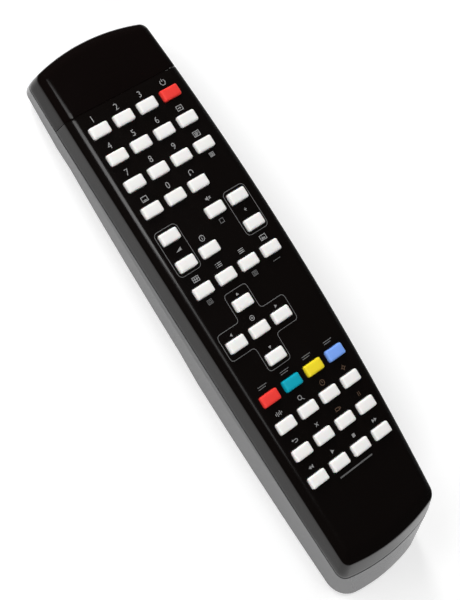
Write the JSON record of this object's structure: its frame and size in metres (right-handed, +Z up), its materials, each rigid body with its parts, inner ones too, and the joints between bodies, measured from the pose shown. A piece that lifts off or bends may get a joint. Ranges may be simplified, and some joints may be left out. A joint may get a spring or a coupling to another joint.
{
  "type": "television remote control",
  "caption": "Slim infra-red remote control: long near-black two-shell case with an arched face, rows of small rounded rubber keys, a smoked front window and an underside battery door.",
  "frame": {"origin": "middle of the overall box, on the plane that the underside rests on", "axes": "+X across the key face to the right, +Y towards the infra-red end, +Z up out of the key face"},
  "size_m": [0.0496, 0.1996, 0.0232],
  "materials": {
    "case": "fine satin, near-black",
    "window": "smoked, satin",
    "key_white": "soft satin",
    "key_red": "soft satin",
    "key_teal": "soft satin",
    "key_yellow": "soft satin",
    "key_blue": "soft satin",
    "lamp": "tinted clear",
    "board": "paper laminate with lacquer",
    "rubber_sheet": "matt",
    "cell": "printed sleeve",
    "contact": "nickel plated",
    "chip": "moulded",
    "screw": "zinc plated"
  },
  "bodies": {
    "case": {"upper_shell": "case", "lower_shell": "case", "ir_window": "window", "ir_led": "lamp", "circuit_board": "board", "keypad_sheet": "rubber_sheet", "battery_left": "cell", "battery_right": "cell", "link_contact": "contact", "plate_contact": "contact", "spring_contact": "contact", "controller_chip": "chip", "case_screws": "screw"},
    "door": {"battery_door": "case"},
    "digit_1_key": {"key_digit_1": "key_white"},
    "digit_2_key": {"key_digit_2": "key_white"},
    "digit_3_key": {"key_digit_3": "key_white"},
    "power_key": {"key_power": "key_red"},
    "digit_4_key": {"key_digit_4": "key_white"},
    "digit_5_key": {"key_digit_5": "key_white"},
    "digit_6_key": {"key_digit_6": "key_white"},
    "source_key": {"key_source": "key_white"},
    "digit_7_key": {"key_digit_7": "key_white"},
    "digit_8_key": {"key_digit_8": "key_white"},
    "digit_9_key": {"key_digit_9": "key_white"},
    "text_key": {"key_text": "key_white"},
    "subtitle_key": {"key_subtitle": "key_white"},
    "digit_0_key": {"key_digit_0": "key_white"},
    "recall_key": {"key_recall": "key_white"},
    "volume_up_key": {"key_volume_up": "key_white"},
    "mute_key": {"key_mute": "key_white"},
    "channel_up_key": {"key_channel_up": "key_white"},
    "volume_down_key": {"key_volume_down": "key_white"},
    "info_key": {"key_info": "key_white"},
    "channel_down_key": {"key_channel_down": "key_white"},
    "guide_key": {"key_guide": "key_white"},
    "list_key": {"key_list": "key_white"},
    "menu_key": {"key_menu": "key_white"},
    "picture_key": {"key_picture": "key_white"},
    "up_key": {"key_up": "key_white"},
    "left_key": {"key_left": "key_white"},
    "enter_key": {"key_enter": "key_white"},
    "right_key": {"key_right": "key_white"},
    "down_key": {"key_down": "key_white"},
    "red_key": {"key_red": "key_red"},
    "green_key": {"key_green": "key_teal"},
    "yellow_key": {"key_yellow": "key_yellow"},
    "blue_key": {"key_blue": "key_blue"},
    "audio_key": {"key_audio": "key_white"},
    "zoom_key": {"key_zoom": "key_white"},
    "timer_key": {"key_timer": "key_white"},
    "tools_key": {"key_tools": "key_white"},
    "return_key": {"key_return": "key_white"},
    "exit_key": {"key_exit": "key_white"},
    "usb_key": {"key_usb": "key_white"},
    "still_key": {"key_still": "key_white"},
    "rewind_key": {"key_rewind": "key_white"},
    "play_key": {"key_play": "key_white"},
    "stop_key": {"key_stop": "key_white"},
    "forward_key": {"key_forward": "key_white"}
  },
  "joints": [
    {"name": "battery_door_swing", "type": "hinge", "parent": "case", "child": "door", "pos_m": [0, -0.0915, 0.00015], "axis": [-1, 0, 0], "range_deg": [0, 60]},
    {"name": "digit_1_press", "type": "slide", "parent": "case", "child": "digit_1_key", "axis": [0, -0.0361, -0.9993], "range_m": [0, 0.001], "stiffness_N_per_m": 300},
    {"name": "digit_2_press", "type": "slide", "parent": "case", "child": "digit_2_key", "axis": [0, -0.0361, -0.9993], "range_m": [0, 0.001], "stiffness_N_per_m": 300},
    {"name": "digit_3_press", "type": "slide", "parent": "case", "child": "digit_3_key", "axis": [0, -0.0361, -0.9993], "range_m": [0, 0.001], "stiffness_N_per_m": 300},
    {"name": "power_press", "type": "slide", "parent": "case", "child": "power_key", "axis": [0, -0.0361, -0.9993], "range_m": [0, 0.001], "stiffness_N_per_m": 300},
    {"name": "digit_4_press", "type": "slide", "parent": "case", "child": "digit_4_key", "axis": [0, -0.0361, -0.9993], "range_m": [0, 0.001], "stiffness_N_per_m": 300},
    {"name": "digit_5_press", "type": "slide", "parent": "case", "child": "digit_5_key", "axis": [0, -0.0361, -0.9993], "range_m": [0, 0.001], "stiffness_N_per_m": 300},
    {"name": "digit_6_press", "type": "slide", "parent": "case", "child": "digit_6_key", "axis": [0, -0.0361, -0.9993], "range_m": [0, 0.001], "stiffness_N_per_m": 300},
    {"name": "source_press", "type": "slide", "parent": "case", "child": "source_key", "axis": [0, -0.0361, -0.9993], "range_m": [0, 0.001], "stiffness_N_per_m": 300},
    {"name": "digit_7_press", "type": "slide", "parent": "case", "child": "digit_7_key", "axis": [0, -0.0361, -0.9993], "range_m": [0, 0.001], "stiffness_N_per_m": 300},
    {"name": "digit_8_press", "type": "slide", "parent": "case", "child": "digit_8_key", "axis": [0, -0.0361, -0.9993], "range_m": [0, 0.001], "stiffness_N_per_m": 300},
    {"name": "digit_9_press", "type": "slide", "parent": "case", "child": "digit_9_key", "axis": [0, -0.0361, -0.9993], "range_m": [0, 0.001], "stiffness_N_per_m": 300},
    {"name": "text_press", "type": "slide", "parent": "case", "child": "text_key", "axis": [0, -0.0361, -0.9993], "range_m": [0, 0.001], "stiffness_N_per_m": 300},
    {"name": "subtitle_press", "type": "slide", "parent": "case", "child": "subtitle_key", "axis": [0, -0.0361, -0.9993], "range_m": [0, 0.001], "stiffness_N_per_m": 300},
    {"name": "digit_0_press", "type": "slide", "parent": "case", "child": "digit_0_key", "axis": [0, -0.0361, -0.9993], "range_m": [0, 0.001], "stiffness_N_per_m": 300},
    {"name": "recall_press", "type": "slide", "parent": "case", "child": "recall_key", "axis": [0, -0.0361, -0.9993], "range_m": [0, 0.001], "stiffness_N_per_m": 300},
    {"name": "volume_up_press", "type": "slide", "parent": "case", "child": "volume_up_key", "axis": [0, -0.0361, -0.9993], "range_m": [0, 0.001], "stiffness_N_per_m": 300},
    {"name": "mute_press", "type": "slide", "parent": "case", "child": "mute_key", "axis": [0, -0.0361, -0.9993], "range_m": [0, 0.001], "stiffness_N_per_m": 300},
    {"name": "channel_up_press", "type": "slide", "parent": "case", "child": "channel_up_key", "axis": [0, -0.0361, -0.9993], "range_m": [0, 0.001], "stiffness_N_per_m": 300},
    {"name": "volume_down_press", "type": "slide", "parent": "case", "child": "volume_down_key", "axis": [0, -0.0361, -0.9993], "range_m": [0, 0.001], "stiffness_N_per_m": 300},
    {"name": "info_press", "type": "slide", "parent": "case", "child": "info_key", "axis": [0, -0.0361, -0.9993], "range_m": [0, 0.001], "stiffness_N_per_m": 300},
    {"name": "channel_down_press", "type": "slide", "parent": "case", "child": "channel_down_key", "axis": [0, -0.0361, -0.9993], "range_m": [0, 0.001], "stiffness_N_per_m": 300},
    {"name": "guide_press", "type": "slide", "parent": "case", "child": "guide_key", "axis": [0, -0.0361, -0.9993], "range_m": [0, 0.001], "stiffness_N_per_m": 300},
    {"name": "list_press", "type": "slide", "parent": "case", "child": "list_key", "axis": [0, -0.0361, -0.9993], "range_m": [0, 0.001], "stiffness_N_per_m": 300},
    {"name": "menu_press", "type": "slide", "parent": "case", "child": "menu_key", "axis": [0, -0.0361, -0.9993], "range_m": [0, 0.001], "stiffness_N_per_m": 300},
    {"name": "picture_press", "type": "slide", "parent": "case", "child": "picture_key", "axis": [0, -0.0361, -0.9993], "range_m": [0, 0.001], "stiffness_N_per_m": 300},
    {"name": "up_press", "type": "slide", "parent": "case", "child": "up_key", "axis": [0, -0.0361, -0.9993], "range_m": [0, 0.001], "stiffness_N_per_m": 300},
    {"name": "left_press", "type": "slide", "parent": "case", "child": "left_key", "axis": [0, -0.0361, -0.9993], "range_m": [0, 0.001], "stiffness_N_per_m": 300},
    {"name": "enter_press", "type": "slide", "parent": "case", "child": "enter_key", "axis": [0, -0.0361, -0.9993], "range_m": [0, 0.001], "stiffness_N_per_m": 300},
    {"name": "right_press", "type": "slide", "parent": "case", "child": "right_key", "axis": [0, -0.0361, -0.9993], "range_m": [0, 0.001], "stiffness_N_per_m": 300},
    {"name": "down_press", "type": "slide", "parent": "case", "child": "down_key", "axis": [0, -0.0361, -0.9993], "range_m": [0, 0.001], "stiffness_N_per_m": 300},
    {"name": "red_press", "type": "slide", "parent": "case", "child": "red_key", "axis": [0, -0.0361, -0.9993], "range_m": [0, 0.001], "stiffness_N_per_m": 300},
    {"name": "green_press", "type": "slide", "parent": "case", "child": "green_key", "axis": [0, -0.0361, -0.9993], "range_m": [0, 0.001], "stiffness_N_per_m": 300},
    {"name": "yellow_press", "type": "slide", "parent": "case", "child": "yellow_key", "axis": [0, -0.0361, -0.9993], "range_m": [0, 0.001], "stiffness_N_per_m": 300},
    {"name": "blue_press", "type": "slide", "parent": "case", "child": "blue_key", "axis": [0, -0.0361, -0.9993], "range_m": [0, 0.001], "stiffness_N_per_m": 300},
    {"name": "audio_press", "type": "slide", "parent": "case", "child": "audio_key", "axis": [0, -0.0361, -0.9993], "range_m": [0, 0.001], "stiffness_N_per_m": 300},
    {"name": "zoom_press", "type": "slide", "parent": "case", "child": "zoom_key", "axis": [0, -0.0361, -0.9993], "range_m": [0, 0.001], "stiffness_N_per_m": 300},
    {"name": "timer_press", "type": "slide", "parent": "case", "child": "timer_key", "axis": [0, -0.0361, -0.9993], "range_m": [0, 0.001], "stiffness_N_per_m": 300},
    {"name": "tools_press", "type": "slide", "parent": "case", "child": "tools_key", "axis": [0, -0.0361, -0.9993], "range_m": [0, 0.001], "stiffness_N_per_m": 300},
    {"name": "return_press", "type": "slide", "parent": "case", "child": "return_key", "axis": [0, -0.0361, -0.9993], "range_m": [0, 0.001], "stiffness_N_per_m": 300},
    {"name": "exit_press", "type": "slide", "parent": "case", "child": "exit_key", "axis": [0, -0.0361, -0.9993], "range_m": [0, 0.001], "stiffness_N_per_m": 300},
    {"name": "usb_press", "type": "slide", "parent": "case", "child": "usb_key", "axis": [0, -0.0361, -0.9993], "range_m": [0, 0.001], "stiffness_N_per_m": 300},
    {"name": "still_press", "type": "slide", "parent": "case", "child": "still_key", "axis": [0, -0.0361, -0.9993], "range_m": [0, 0.001], "stiffness_N_per_m": 300},
    {"name": "rewind_press", "type": "slide", "parent": "case", "child": "rewind_key", "axis": [0, -0.0361, -0.9993], "range_m": [0, 0.001], "stiffness_N_per_m": 300},
    {"name": "play_press", "type": "slide", "parent": "case", "child": "play_key", "axis": [0, -0.0361, -0.9993], "range_m": [0, 0.001], "stiffness_N_per_m": 300},
    {"name": "stop_press", "type": "slide", "parent": "case", "child": "stop_key", "axis": [0, -0.0361, -0.9993], "range_m": [0, 0.001], "stiffness_N_per_m": 300},
    {"name": "forward_press", "type": "slide", "parent": "case", "child": "forward_key", "axis": [0, -0.0361, -0.9993], "range_m": [0, 0.001], "stiffness_N_per_m": 300}
  ]
}
